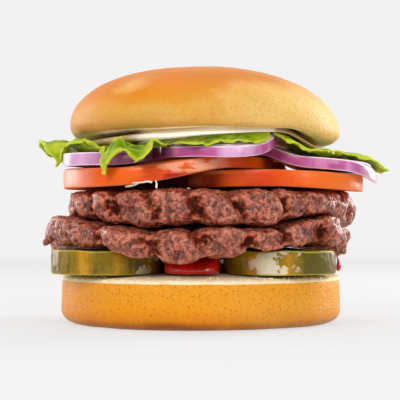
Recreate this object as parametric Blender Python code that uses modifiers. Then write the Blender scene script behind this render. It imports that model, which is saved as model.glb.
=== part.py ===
"""Double hamburger at its real size, in metres, with +Z up.

The origin is the middle of the heel's flat base, and -Y is the front. Each layer starts as a turned disc
whose two faces are then bent over whatever lies beneath it, so the stack rests from the heel up to the
crown with a hair of clearance between the pieces. The lettuce leaves are thin sheets that pass between
the onion slices and the crown, and hang out over the sides.
"""

import math

import bmesh
import bpy
from mathutils import Vector

MM = 0.001
GAP = 0.3 * MM
COLLECTION = "double_hamburger"

# Bun heel: a low turned loaf half, its cut face slightly domed
HEEL_RADIUS = 53.2 * MM
HEEL_RIM_HEIGHT = 17.7 * MM
HEEL_DOME = 2.1 * MM
HEEL_DOME_POWER = 2.5
HEEL_FOOT_RADIUS = (5.6 * MM, 5.0 * MM)
HEEL_EDGE_RADIUS = 1.8 * MM
HEEL_SEGMENTS = 40
HEEL_FACE_RINGS = (0.0, 0.4, 0.7, 0.88)
HEEL_BASE_RING = 0.55
HEEL_SET_BACK = 0.4 * MM
BUN_WOBBLE = 0.006

# Pickle slices lying on the heel: centre x, centre y, radius
PICKLE_THICKNESS = 8.6 * MM
PICKLE_FLOOR = 18.7 * MM
PICKLE_WAVE = 0.5 * MM
PICKLE_WAVE_LENGTH = (19.0 * MM, 27.0 * MM)
PICKLES = {
    "pickle_front_left": (-34.0 * MM, -21.5 * MM, 20.9 * MM),
    "pickle_front_right": (28.6 * MM, -24.5 * MM, 20.6 * MM),
    "pickle_back_left": (-22.0 * MM, 27.0 * MM, 19.5 * MM),
    "pickle_back_right": (26.0 * MM, 21.5 * MM, 19.8 * MM),
}

# Ketchup pooled between the pickles
KETCHUP_REACH = 44.0 * MM
KETCHUP_MARGIN = 0.8 * MM
KETCHUP_HEADROOM = 0.9 * MM
KETCHUP_LEAST = 10.0 * MM
KETCHUP_STEP = 0.25 * MM
# It runs furthest towards one heading: the heading and half width in degrees, and the share it runs elsewhere
KETCHUP_RUN = (-92, 30, 0.66)

# Patties: the wavy seam between them, and the level top that the tomatoes lie on
LOWER_PATTY = (-0.9 * MM, 0.0, 58.6 * MM)
UPPER_PATTY = (3.6 * MM, 0.5 * MM, 56.3 * MM)
PATTY_SAG = 4.6 * MM
SAG_BAND = (1.5 * MM, 8.5 * MM)
SAG_SHARE = (0.55, 0.8)
PATTY_CLEARANCE = 1.0 * MM
LOWER_PATTY_FLARE = 0.016
SEAM_HEIGHT = 36.0 * MM
SEAM_DOME = 1.6 * MM
SEAM_DOME_SHARE = (0.3, 0.9)
UPPER_PATTY_TOP = 49.4 * MM
# Headings in degrees of the creases that part a rim into lobes
LOWER_CREASES = (-172, -153, -134, -107, -88, -64, -44, -20, 4, 27, 49, 74, 96, 121, 143, 165)
UPPER_CREASES = (-166, -144, -122, -103, -77, -52, -31, -9, 15, 36, 61, 83, 108, 130, 154, 176)
CREASE_DEPTH = 4.2 * MM
CREASE_HALF_WIDTH = 3.6
CREASE_LEAN = 5.0
CREASE_LEAN_TURNS = 7
CREASE_SHARE = (0.6, 0.95)
# Swells of the seam and dips of the top round the rim: angle and half width in degrees, rise in metres
SEAM_SWELLS = (
    (-161, 17, 5.6 * MM),
    (-111, 8, -1.6 * MM),
    (-64, 6, -1.0 * MM),
    (-34, 15, 5.0 * MM),
    (20, 14, -1.5 * MM),
    (62, 14, 3.0 * MM),
    (105, 10, -2.0 * MM),
    (140, 16, 2.5 * MM),
)
TOP_DIPS = (
    (-128, 5, -1.5 * MM),
    (-79, 4, -1.8 * MM),
    (-48, 5, -1.0 * MM),
    (8, 8, -1.0 * MM),
    (75, 9, -2.4 * MM),
    (150, 8, -2.0 * MM),
)

# Swells of the lower patty's underside, given as the seam's are
UNDER_SWELLS = ((-76, 7, 2.2 * MM), (-101, 6, -1.0 * MM), (40, 12, 1.5 * MM), (128, 10, 1.2 * MM))

# Mounds on the upper patty where the left tomato slice bridges over it: centre x and y, half width, rise
TOP_MOUNDS = ((-17.0 * MM, -4.0 * MM, 5.5 * MM, 3.0 * MM), (-10.6 * MM, 15.5 * MM, 5.0 * MM, 3.4 * MM))

# Swells grow out to the rim, and no further than this share of the radius
SWELL_REACH = 1.2

# The patty top falls away past its level reach. Beside a slice's edge a bank starts past a ledge, and bends
# down to a slope: how each upper slice, leaf or bun comes off the slices below it.
LEVEL_REACH = 52.0 * MM
LEVEL_FALL = 0.12
SLICE_CLEARANCE = 0.85 * MM
BANK_LEDGE = 1.3 * MM
BANK_BEND = 4.0 * MM
TOMATO_SLOPE = 0.27
ONION_SLOPE = 0.36
LEANING_ONION_SLOPE = 0.6
HANGING_ONION_SLOPE = 1.5
HANGING_ONION_BEND = 3.0 * MM
CENTRE_ONION_SLOPE = 0.3
LEAF_SLOPE = 0.45
SIDE_SLOPE = 8.0
SIDE_BEND = 0.5 * MM
CROWN_SLOPE = 0.62
CROWN_BEND = 10.0 * MM

# Tomato slices: centre x, centre y, radius, thickness at the centre, change of thickness along +X
TOMATO_RIGHT = (28.0 * MM, -11.5 * MM, 32.5 * MM, 5.9 * MM, 0.0)
TOMATO_LEFT = (-11.8 * MM, -6.4 * MM, 40.2 * MM, 5.7 * MM, -0.042)
TOMATO_BACK = (14.0 * MM, 42.5 * MM, 14.8 * MM, 6.0 * MM, 0.0)

# Onion slices: centre x, centre y, radius, thickness
ONION_LEFT = (-32.6 * MM, -20.0 * MM, 18.0 * MM, 4.8 * MM)
ONION_RIGHT = (42.0 * MM, -13.5 * MM, 23.5 * MM, 4.2 * MM)
ONION_CENTRE = (6.6 * MM, -28.5 * MM, 21.0 * MM, 3.9 * MM)
ONION_BACK = (-10.0 * MM, 26.0 * MM, 23.0 * MM, 4.2 * MM)

# Crown: a domed loaf half that leans down to the right, its front rim lifted off the filling
CROWN_CENTRE = (1.7 * MM, 0.0)
CROWN_RADIUS = 51.7 * MM
CROWN_HEIGHT = 30.4 * MM
CROWN_WAIST_HEIGHT = 6.0 * MM
CROWN_CUT_RADIUS = 47.5 * MM
CROWN_SEGMENTS = 36
CUT_FACE_RINGS = (0.0, 0.27, 0.52, 0.7, 0.86)
CROWN_DOME_POWER = 2.15
CROWN_BASE = 66.4 * MM
CROWN_LEAN = -0.042
CROWN_TOP_LEAN = 0.024
CROWN_LIFT = ((-112, 24, 2.2 * MM), (-50, 16, -1.6 * MM), (60, 26, 1.2 * MM))
CROWN_ROOM = 5.5 * MM
CROWN_BLEND = 2.0 * MM
CROWN_BENT_HEIGHT = 11.0 * MM
CROWN_DOME_RINGS = 8

# Mayonnaise under the crown, and the lettuce leaf thickness
MAYO_THICKNESS = 3.2 * MM
MAYO_GAP = 1.1 * MM
MAYO_LEAST = 0.6 * MM
MAYO_RADIUS = 45.0 * MM
MAYO_BULGES = ((-98, 24, 4.0 * MM),)
MAYO_BULGE_SHARE = (0.9, 0.97)
# The sauce's rim as an inset from its edge and a height, from the top face to the bottom one
MAYO_RIM = ((0.012, 0.85), (0.0, 0.0), (0.02, -0.8))
MAYO_LEDGE = 2.0 * MM
LEAF_THICKNESS = 0.8 * MM
LEAF_CLEARANCE = 1.1 * MM
LEAF_HEADROOM = 1.75 * MM
LEAF_SIDE_CLEARANCE = 2.9 * MM
LEAF_ROWS = 9
# The crown stops holding a leaf down this far out, as a share of its rounded lower edge
LEAF_FREE_INSET = 1.15
# A leaf narrows towards its root, its sides are frilled, and its outer corners are rounded off
LEAF_ROOT_WIDTH = 0.93
LEAF_FRILL = (0.04, 17.0, 4.0)
LEAF_CORNER = (0.22, 0.72)
LEAF_FREE_SHARE = (0.25, 0.8)
LEAF_HANG_SHARE = (0.6, 1.0)
LEAF_WAVE_SKEW = 1.8

# Rims of unit discs as radius and height, and the rings of their faces as shares of the radius
SLICE_WOBBLE = 0.011
PHASE_STEP = 1.3
HEEL_PHASE = 0.7
CROWN_PHASE = 2.4
TOMATO_RIM = ((0.988, 1.0), (1.0, 0.82), (1.004, 0.0), (1.0, -0.82), (0.988, -1.0))
TOMATO_RINGS = (0.0, 0.4, 0.75)
TOMATO_SEGMENTS = 24
ONION_HALF_RIM = ((0.82, 0.97), (0.855, 0.5), (0.89, 0.98), (0.993, 0.93))
ONION_RINGS = (0.0, 0.3, 0.58)
ONION_SEGMENTS = 20
PICKLE_RIM = ((0.975, 1.0), (1.0, 0.84), (1.006, 0.0), (1.0, -0.84), (0.975, -1.0))
PICKLE_RINGS = (0.0, 0.6)
PICKLE_SEGMENTS = 24
PICKLE_RIBS = 13
PICKLE_RIB_DEPTH = 0.007
PICKLE_OUTLINE = (0.99, 0.008)
KETCHUP_RIM = ((0.9, 0.9), (0.98, 0.4), (1.0, -0.3), (0.98, -0.85), (0.9, -1.0))
KETCHUP_RINGS = (0.0, 0.45)
KETCHUP_SEGMENTS = 36
PATTY_RIM_WIDTH = 0.1
PATTY_ROUNDNESS = (0.5, 0.7)
PATTY_RINGS = (0.0, 0.36, 0.62, 0.8)
PATTY_SEGMENTS = 58
PATTY_WOBBLE = 0.009
PATTY_LOBES = 9
PATTY_LOBE_SIZE = 0.016
CREASE_PINCH = 0.13

RGB = {
    "crust": (0.80, 0.47, 0.17),
    "beef": (0.23, 0.10, 0.07),
    "tomato": (0.78, 0.13, 0.03),
    "onion": (0.60, 0.27, 0.50),
    "lettuce": (0.36, 0.52, 0.06),
    "pickle": (0.30, 0.31, 0.04),
    "ketchup": (0.50, 0.01, 0.01),
    "mayonnaise": (0.90, 0.85, 0.72),
}
ROUGHNESS = {"crust": 0.55, "beef": 0.5, "tomato": 0.25, "onion": 0.3, "lettuce": 0.4, "pickle": 0.25}
SAUCE_ROUGHNESS = 0.2


def smooth_step(low, high, value):
    """0 below low, 1 above high, and an even S between them."""
    share = min(1.0, max(0.0, (value - low) / (high - low)))
    return share * share * (3 - 2 * share)


def soft_max(values, blend=0.5 * MM):
    """The highest of several heights, rounded where two of them cross."""
    top = max(values)
    return top + blend * math.log(sum(math.exp((value - top) / blend) for value in values))


def turn_between(first, second):
    """The turn in degrees from one angle to another, from -180 to 180."""
    return (first - second + 180) % 360 - 180


def bumps(heading, swells):
    """The sum at a heading of swells given by heading, half width and size."""
    return sum(size * math.exp(-0.5 * (turn_between(heading, at) / half) ** 2) for at, half, size in swells)


def swell(x, y, radius, swells):
    """Rises and dips that grow from the middle out to the rim."""
    share = min(SWELL_REACH, math.hypot(x, y) / radius)
    return bumps(math.degrees(math.atan2(y, x)), swells) * share**2


def outline_wobble(angle, phase, size):
    """How far an uneven outline lies outside its mean circle, as a share of the radius."""
    return size * (math.sin(2 * angle + phase) + 0.6 * math.sin(3 * angle + 2.1 * phase))


def heel_top(x, y):
    """Height of the heel's cut face."""
    share = math.hypot(x, y) / HEEL_RADIUS
    return HEEL_RIM_HEIGHT + HEEL_DOME * (1 - share**HEEL_DOME_POWER)


def pickle_bottom(x, y):
    """The slices lie on the heel's dome, and stay stiff where they overhang its rim."""
    return max(heel_top(x, y), PICKLE_FLOOR) + GAP


def pickle_top(x, y):
    """The slices are cut a little unevenly."""
    along_x, along_y = (2 * math.pi / length for length in PICKLE_WAVE_LENGTH)
    wave = PICKLE_WAVE * math.sin(along_x * x + 1.0) * math.cos(along_y * y)
    return pickle_bottom(x, y) + PICKLE_THICKNESS + wave


def off_pickles(x, y):
    """Distance from a point to the nearest pickle slice's edge, below 0 inside it."""
    return min(math.hypot(x - cx, y - cy) - radius for cx, cy, radius in PICKLES.values())


def lower_patty_bottom(x, y):
    """The lower patty lies on the pickles and sags between them."""
    sag = PATTY_SAG * smooth_step(*SAG_BAND, off_pickles(x, y))
    sag *= smooth_step(*SAG_SHARE, math.hypot(x, y) / LOWER_PATTY[2])
    return pickle_top(x, y) + PATTY_CLEARANCE - sag + swell(x, y, LOWER_PATTY[2], UNDER_SWELLS)


def patty_seam(x, y):
    """The wavy surface where the two patties meet."""
    dome = SEAM_DOME * (1 - smooth_step(*SEAM_DOME_SHARE, math.hypot(x, y) / LOWER_PATTY[2]))
    return SEAM_HEIGHT + dome + swell(x, y, LOWER_PATTY[2], SEAM_SWELLS)


def lower_patty_top(x, y):
    return patty_seam(x, y) - GAP


def upper_patty_bottom(x, y):
    return patty_seam(x, y) + GAP


def upper_patty_top(x, y):
    height = UPPER_PATTY_TOP + swell(x, y, UPPER_PATTY[2], TOP_DIPS)
    for mound_x, mound_y, half_width, rise in TOP_MOUNDS:
        away = math.hypot(x - mound_x, y - mound_y) / half_width
        height += rise * math.exp(-0.5 * away**2)
    return height


class Slice:
    """A round slice that drapes over what lies beneath it."""

    def __init__(self, place, thickness, wedge, beneath):
        self.x, self.y, self.radius = place
        self.thickness = thickness
        self.wedge = wedge
        self.beneath = beneath

    def bottom(self, x, y):
        return self.beneath(x, y) + SLICE_CLEARANCE

    def top(self, x, y):
        return self.bottom(x, y) + self.thickness + self.wedge * (x - self.x)

    def cover(self, x, y, slope, bend):
        """The top of the slice, and beyond its edge a bank that bends down to that slope."""
        outside = max(0.0, math.hypot(x - self.x, y - self.y) - self.radius - BANK_LEDGE)
        fall = outside**2 / (2 * bend) if outside < bend else outside - bend / 2
        return self.top(x, y) - slope * fall


def draped(slices, slope, floor, bend=BANK_BEND):
    """The surface that rests on a floor height and on some slices, each with a bank round it."""
    return lambda x, y: soft_max([floor(x, y)] + [s.cover(x, y, slope, bend) for s in slices])


def level_patty(x, y):
    """The patty top that the slices bridge, which bends down beyond the patty's own rim."""
    return UPPER_PATTY_TOP - LEVEL_FALL * max(0.0, math.hypot(x, y) - LEVEL_REACH)


tomato_right = Slice(TOMATO_RIGHT[:3], *TOMATO_RIGHT[3:], level_patty)
tomato_left = Slice(TOMATO_LEFT[:3], *TOMATO_LEFT[3:], draped([tomato_right], TOMATO_SLOPE, level_patty))
tomato_back = Slice(TOMATO_BACK[:3], *TOMATO_BACK[3:], level_patty)
TOMATOES = {"tomato_left": tomato_left, "tomato_right": tomato_right, "tomato_back": tomato_back}
ON_TOMATO = draped(TOMATOES.values(), ONION_SLOPE, level_patty)
OVER_TOMATO_EDGE = draped([tomato_right, tomato_back], HANGING_ONION_SLOPE, level_patty, HANGING_ONION_BEND)


def under_right_onion(x, y):
    """The right onion slice leans off the left tomato slice and hangs over the right one's edge."""
    return soft_max([OVER_TOMATO_EDGE(x, y), tomato_left.cover(x, y, LEANING_ONION_SLOPE, BANK_BEND)])


onion_left = Slice(ONION_LEFT[:3], ONION_LEFT[3], 0.0, ON_TOMATO)
onion_right = Slice(ONION_RIGHT[:3], ONION_RIGHT[3], 0.0, under_right_onion)
onion_back = Slice(ONION_BACK[:3], ONION_BACK[3], 0.0, ON_TOMATO)
ON_RIGHT_ONION = draped([*TOMATOES.values(), onion_right], CENTRE_ONION_SLOPE, level_patty)
onion_centre = Slice(ONION_CENTRE[:3], ONION_CENTRE[3], 0.0, ON_RIGHT_ONION)
ONIONS = {
    "onion_left": onion_left,
    "onion_right": onion_right,
    "onion_centre": onion_centre,
    "onion_back": onion_back,
}
FILLING = [*TOMATOES.values(), *ONIONS.values()]
FILLING_TOP = draped(FILLING, LEAF_SLOPE, level_patty)
FILLING_SIDES = draped(FILLING, SIDE_SLOPE, level_patty, SIDE_BEND)
CROWN_LOAD = draped(FILLING, CROWN_SLOPE, level_patty, CROWN_BEND)


def crown_plane(x, y):
    """The crown's cut face, leaning to the right and lifted along the front and back rim."""
    return CROWN_BASE + CROWN_LEAN * x + swell(x, y, CROWN_CUT_RADIUS, CROWN_LIFT)


def crown_bottom(x, y):
    """The soft cut face gives way over the highest slices, and leaves room for leaf and sauce."""
    return soft_max([crown_plane(x, y), CROWN_LOAD(x, y) + CROWN_ROOM], CROWN_BLEND)


def crown_place(x, y):
    """Where a point of the turned crown ends up, with the crown's uneven outline."""
    grow = 1 + outline_wobble(math.atan2(y, x), CROWN_PHASE, BUN_WOBBLE)
    return x * grow + CROWN_CENTRE[0], y * grow + CROWN_CENTRE[1]


def mayo_bottom(x, y):
    above = crown_bottom(x, y) - MAYO_GAP
    room = above - FILLING_TOP(x, y) - 2 * LEAF_CLEARANCE - LEAF_THICKNESS
    return above - min(MAYO_THICKNESS, max(MAYO_LEAST, room))


def leaf_ceiling(x, y):
    """What a leaf must stay under: the sauce, the crown, and nothing beyond the crown's rim."""
    from_crown = math.hypot(x - CROWN_CENTRE[0], y - CROWN_CENTRE[1])
    inset = (from_crown - CROWN_CUT_RADIUS) / (CROWN_RADIUS - CROWN_CUT_RADIUS)
    if inset > LEAF_FREE_INSET:
        return math.inf
    rim_rise = CROWN_WAIST_HEIGHT * (1 - math.sqrt(max(0.0, 1 - max(0.0, inset) ** 2)))
    if from_crown < MAYO_RADIUS + MAYO_BULGES[0][2] + MAYO_LEDGE:
        return mayo_bottom(x, y)
    return crown_bottom(x, y) + rim_rise


def arc(centre_r, centre_z, radius_r, radius_z, start_deg, end_deg, count):
    """Profile points along a quarter or half of an ellipse, start and end included."""
    angles = [math.radians(start_deg + (end_deg - start_deg) * i / (count - 1)) for i in range(count)]
    return [(centre_r + radius_r * math.cos(a), centre_z + radius_z * math.sin(a)) for a in angles]


def turned(name, profile, segments):
    """A closed body turned about Z from a profile of radius and height that runs from top to bottom."""
    outline = bpy.data.meshes.new(name + "_profile")
    points = [(radius, 0.0, height) for radius, height in profile]
    outline.from_pydata(points, [(i, i + 1) for i in range(len(points) - 1)], [])
    guide = bpy.data.objects.new(name + "_profile", outline)
    bpy.context.scene.collection.objects.link(guide)
    screw = guide.modifiers.new("Turn", "SCREW")
    screw.steps = segments
    screw.render_steps = segments
    screw.use_merge_vertices = True
    screw.merge_threshold = 0.00001
    graph = bpy.context.evaluated_depsgraph_get()
    mesh = bpy.data.meshes.new_from_object(guide.evaluated_get(graph))
    bpy.data.objects.remove(guide)
    shape = bmesh.new()
    shape.from_mesh(mesh)
    bmesh.ops.remove_doubles(shape, verts=shape.verts, dist=0.00001)
    shape.to_mesh(mesh)
    shape.free()
    mesh.name = name
    return mesh


def split_quads(mesh):
    """Splits each quad along its shorter diagonal, so two surfaces that run side by side split alike."""
    shape = bmesh.new()
    shape.from_mesh(mesh)
    bmesh.ops.triangulate(shape, faces=shape.faces, quad_method="SHORT_EDGE")
    shape.to_mesh(mesh)
    shape.free()


def place(name, mesh, material, collection):
    """Puts a finished mesh in the burger, shaded smooth with its sharp edges kept."""
    obj = bpy.data.objects.new(name, mesh)
    mesh.materials.clear()
    mesh.materials.append(material)
    mesh.shade_smooth()
    mesh.set_sharp_from_angle(angle=math.radians(50))
    collection.objects.link(obj)
    return obj


def make_heel(collection, material):
    """The bottom bun: flat base, rounded foot, upright side and a domed cut face."""
    foot_r, foot_z = HEEL_FOOT_RADIUS
    edge = HEEL_EDGE_RADIUS
    edge_r = HEEL_RADIUS - HEEL_SET_BACK - edge
    edge_z = heel_top(edge_r, 0) - edge
    face = [(share * edge_r, heel_top(share * edge_r, 0)) for share in HEEL_FACE_RINGS]
    profile = face + arc(edge_r, edge_z, edge, edge, 90, 0, 3)
    profile += arc(HEEL_RADIUS - foot_r, foot_z, foot_r, foot_z, 15, -90, 5)
    profile += [(HEEL_BASE_RING * HEEL_RADIUS, 0.0), (0.0, 0.0)]
    mesh = turned("bun_heel", profile, HEEL_SEGMENTS)
    for vertex in mesh.vertices:
        x, y, z = vertex.co
        grow = 1 + outline_wobble(math.atan2(y, x), HEEL_PHASE, BUN_WOBBLE)
        vertex.co = (x * grow, y * grow, z)
    return place("bun_heel", mesh, material, collection)


def make_crown(collection, material):
    """The top bun: a dome over a bulging waist, its cut face bent over the filling."""
    rise = CROWN_HEIGHT - CROWN_WAIST_HEIGHT
    dome = []
    for i in range(CROWN_DOME_RINGS):
        radius = CROWN_RADIUS * math.sin(math.pi / 2 * i / CROWN_DOME_RINGS)
        share = 1 - (radius / CROWN_RADIUS) ** CROWN_DOME_POWER
        dome.append((radius, CROWN_WAIST_HEIGHT + rise * share ** (1 / CROWN_DOME_POWER)))
    under = CROWN_RADIUS - CROWN_CUT_RADIUS
    waist = arc(CROWN_CUT_RADIUS, CROWN_WAIST_HEIGHT, under, CROWN_WAIST_HEIGHT, 0, -90, 4)
    face = [(share * CROWN_CUT_RADIUS, 0.0) for share in reversed(CUT_FACE_RINGS)]
    mesh = turned("bun_crown", dome + waist + face, CROWN_SEGMENTS)
    for vertex in mesh.vertices:
        height = vertex.co.z
        x, y = crown_place(vertex.co.x, vertex.co.y)
        fade = smooth_step(0.0, CROWN_BENT_HEIGHT, height)
        base = crown_bottom(x, y) * (1 - fade) + (CROWN_BASE + CROWN_LEAN * x) * fade
        lean = CROWN_TOP_LEAN * x * height / CROWN_HEIGHT
        vertex.co = (x, y, base + height + lean)
    split_quads(mesh)
    return place("bun_crown", mesh, material, collection)


def disc_profile(rim, shares):
    """A unit disc's profile: a face out to the rim, the rim's points, and the same face back."""
    top = [(share, 1.0) for share in shares]
    return [*top, *rim, *((radius, -height) for radius, height in reversed(top))]


def bend_disc(mesh, centre, outline, bottom, top):
    """Fits a unit disc to an outline round its centre, and to a bottom and a top surface."""
    for vertex in mesh.vertices:
        angle = math.atan2(vertex.co.y, vertex.co.x)
        reach = math.hypot(vertex.co.x, vertex.co.y) * outline(angle)
        x = centre[0] + reach * math.cos(angle)
        y = centre[1] + reach * math.sin(angle)
        low, high = bottom(x, y), top(x, y)
        vertex.co = (x, y, low + (high - low) * (vertex.co.z + 1) / 2)


def make_slice(name, cut, profile, segments, phase, collection, material):
    """A tomato or onion slice, bent over what it lies on."""
    mesh = turned(name, profile, segments)

    def outline(angle):
        return cut.radius * (1 + outline_wobble(angle, phase, SLICE_WOBBLE))

    bend_disc(mesh, (cut.x, cut.y), outline, cut.bottom, cut.top)
    return place(name, mesh, material, collection)


def make_tomatoes(collection, material):
    profile = disc_profile(TOMATO_RIM, TOMATO_RINGS)
    for phase, (name, cut) in enumerate(TOMATOES.items()):
        make_slice(name, cut, profile, TOMATO_SEGMENTS, PHASE_STEP * phase, collection, material)


def make_onions(collection, material):
    """Onion slices, with the groove between the outer ring and the next one."""
    lower_rim = [(radius, -height) for radius, height in reversed(ONION_HALF_RIM)]
    profile = disc_profile([*ONION_HALF_RIM, (1.003, 0.0), *lower_rim], ONION_RINGS)
    for phase, (name, cut) in enumerate(ONIONS.items()):
        make_slice(name, cut, profile, ONION_SEGMENTS, PHASE_STEP * phase, collection, material)


def make_pickles(collection, material):
    """Thick dill slices with a gently ribbed skin, lying on the heel's cut face."""
    for number, (name, (x, y, radius)) in enumerate(PICKLES.items()):
        mesh = turned(name, disc_profile(PICKLE_RIM, PICKLE_RINGS), PICKLE_SEGMENTS)

        def outline(angle, radius=radius, number=number):
            ribs = PICKLE_RIB_DEPTH * math.sin(PICKLE_RIBS * angle)
            mean, wobble = PICKLE_OUTLINE
            return radius * (mean + outline_wobble(angle, PHASE_STEP * number, wobble) + ribs)

        bend_disc(mesh, (x, y), outline, pickle_bottom, pickle_top)
        place(name, mesh, material, collection)


def ketchup_outline(angle):
    """How far the ketchup spreads in a direction before it meets a pickle or its own edge."""
    run_heading, half_width, elsewhere = KETCHUP_RUN
    run = bumps(math.degrees(angle), [(run_heading, half_width, 1 - elsewhere)])
    limit = KETCHUP_REACH * (elsewhere + run)
    reach = KETCHUP_LEAST
    while reach < limit:
        x, y = (reach + KETCHUP_STEP) * math.cos(angle), (reach + KETCHUP_STEP) * math.sin(angle)
        if off_pickles(x, y) < KETCHUP_MARGIN:
            break
        reach += KETCHUP_STEP
    return reach


def make_ketchup(collection, material):
    """Sauce squeezed up between the pickles as far as the patty lets it."""
    mesh = turned("ketchup", disc_profile(KETCHUP_RIM, KETCHUP_RINGS), KETCHUP_SEGMENTS)

    def bottom(x, y):
        return heel_top(x, y) + GAP

    def top(x, y):
        return lower_patty_bottom(x, y) - KETCHUP_HEADROOM

    bend_disc(mesh, (0.0, 0.0), ketchup_outline, bottom, top)
    return place("ketchup", mesh, material, collection)


def make_mayonnaise(collection, material):
    """A spread layer of mayonnaise that follows the crown's cut face ring by ring."""
    edge = MAYO_RADIUS / CROWN_CUT_RADIUS
    rim = [(edge - inset, height) for inset, height in MAYO_RIM]
    mesh = turned("mayonnaise", disc_profile(rim, CUT_FACE_RINGS), CROWN_SEGMENTS)
    for vertex in mesh.vertices:
        heading = math.degrees(math.atan2(vertex.co.y, vertex.co.x))
        at_rim = smooth_step(*MAYO_BULGE_SHARE, math.hypot(vertex.co.x, vertex.co.y) / edge)
        size = CROWN_CUT_RADIUS + bumps(heading, MAYO_BULGES) * at_rim
        x, y = crown_place(vertex.co.x * size, vertex.co.y * size)
        low, high = mayo_bottom(x, y), crown_bottom(x, y) - MAYO_GAP
        vertex.co = (x, y, low + (high - low) * (vertex.co.z + 1) / 2)
    split_quads(mesh)
    return place("mayonnaise", mesh, material, collection)


def make_patty(name, patty, flare, creases, bottom, top, collection, material):
    """A hand-formed patty whose rim is parted into lobes by leaning creases in the mince."""
    centre_x, centre_y, radius = patty
    squareness, flatness = PATTY_ROUNDNESS
    rim = [
        (1 - PATTY_RIM_WIDTH * (1 - abs(r) ** squareness), math.copysign(abs(z) ** flatness, z))
        for r, z in arc(0, 0, 1, 1, 90, -90, 7)
    ]
    mesh = turned(name, disc_profile(rim, PATTY_RINGS), PATTY_SEGMENTS)
    notches = [(heading, CREASE_HALF_WIDTH, 1.0) for heading in creases]
    for vertex in mesh.vertices:
        share = math.hypot(vertex.co.x, vertex.co.y)
        height = vertex.co.z
        angle = math.atan2(vertex.co.y, vertex.co.x)
        heading = math.degrees(angle)
        at_rim = smooth_step(*CREASE_SHARE, share)
        lean = CREASE_LEAN * height * math.sin(CREASE_LEAN_TURNS * angle)
        crease = at_rim * min(1.0, bumps(heading + lean, notches))
        lobe = PATTY_LOBE_SIZE * math.sin(PATTY_LOBES * angle + height) * at_rim
        lobe += outline_wobble(angle, radius / MM, PATTY_WOBBLE)
        reach = share * radius * (1 + lobe + flare * height) - CREASE_DEPTH * crease
        x = centre_x + reach * math.cos(angle)
        y = centre_y + reach * math.sin(angle)
        low, high = bottom(x, y), top(x, y)
        vertex.co = (x, y, (low + high) / 2 + (high - low) / 2 * height * (1 - CREASE_PINCH * crease))
    return place(name, mesh, material, collection)


# Leaves fan out between two headings in degrees. From the root radius they run level, raised above the
# filling, and past the fall radius they droop. Lobes and droops are swells along the edge: heading and
# half width in degrees, then more length in metres or more droop in degrees.
LEAVES = {
    "lettuce_left": dict(
        span=(-203, -141), root=24 * MM, length=28 * MM, raised=4.4 * MM, fall=45 * MM, droop=-6, columns=14,
        lobes=((-182, 6, 11 * MM), (-164, 6, 9.0 * MM), (-148, 5, 2 * MM), (-199, 6, 4 * MM)),
        droops=((-164, 6, 78), (-148, 7, 34), (-198, 6, 40)), ruffle=1.2 * MM, waves=2.5, phase=0.1,
    ),
    "lettuce_front": dict(
        span=(-133, -105), root=24 * MM, length=29.5 * MM, raised=3.9 * MM, fall=48 * MM, droop=42,
        columns=14,
        lobes=((-127.5, 3.7, 11.5 * MM), (-112.5, 4.4, 6.0 * MM)), droops=((-129, 6, 42), (-114, 6, 30)),
        ruffle=1.2 * MM, waves=1.6, phase=0.3,
    ),
    "lettuce_centre": dict(
        span=(-102, -56), root=26 * MM, length=22 * MM, raised=0.0 * MM, fall=45 * MM, droop=10, columns=12,
        lobes=((-90, 7, 2.5 * MM), (-68, 6, 1.5 * MM)), droops=((-90, 6, 20),),
        ruffle=1.2 * MM, waves=3.0, phase=0.6,
    ),
    "lettuce_right": dict(
        span=(-54, 14), root=33 * MM, length=18 * MM, raised=1.1 * MM, fall=45 * MM, droop=16,
        columns=14,
        lobes=((-6, 7, 22 * MM), (-38, 9, 5 * MM), (-51, 4, 3 * MM)),
        droops=((-38, 9, 24), (8, 5, 20), (-51, 4, 40)),
        ruffle=1.7 * MM, waves=3.2, phase=0.45,
    ),
    "lettuce_back": dict(
        span=(38, 134), root=27 * MM, length=29 * MM, raised=2.0 * MM, fall=48 * MM, droop=26, columns=16,
        lobes=((55, 6, 8 * MM), (85, 8, 12 * MM), (118, 7, 9 * MM)), droops=((85, 10, 40), (118, 7, 25)),
        ruffle=1.7 * MM, waves=4.4, phase=0.2,
    ),
}
LEAF_FALL_LENGTH = 9.0 * MM


def fallen_path(length, level, droop_deg):
    """How far out and down a leaf has gone after a length along it that starts with a level stretch."""
    steps = 24
    out = down = 0.0
    for i in range(steps):
        along = (i + 0.5) * length / steps
        tilt = math.radians(droop_deg) * smooth_step(level, level + LEAF_FALL_LENGTH, along)
        out += math.cos(tilt) * length / steps
        down += math.sin(tilt) * length / steps
    return out, down


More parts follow.
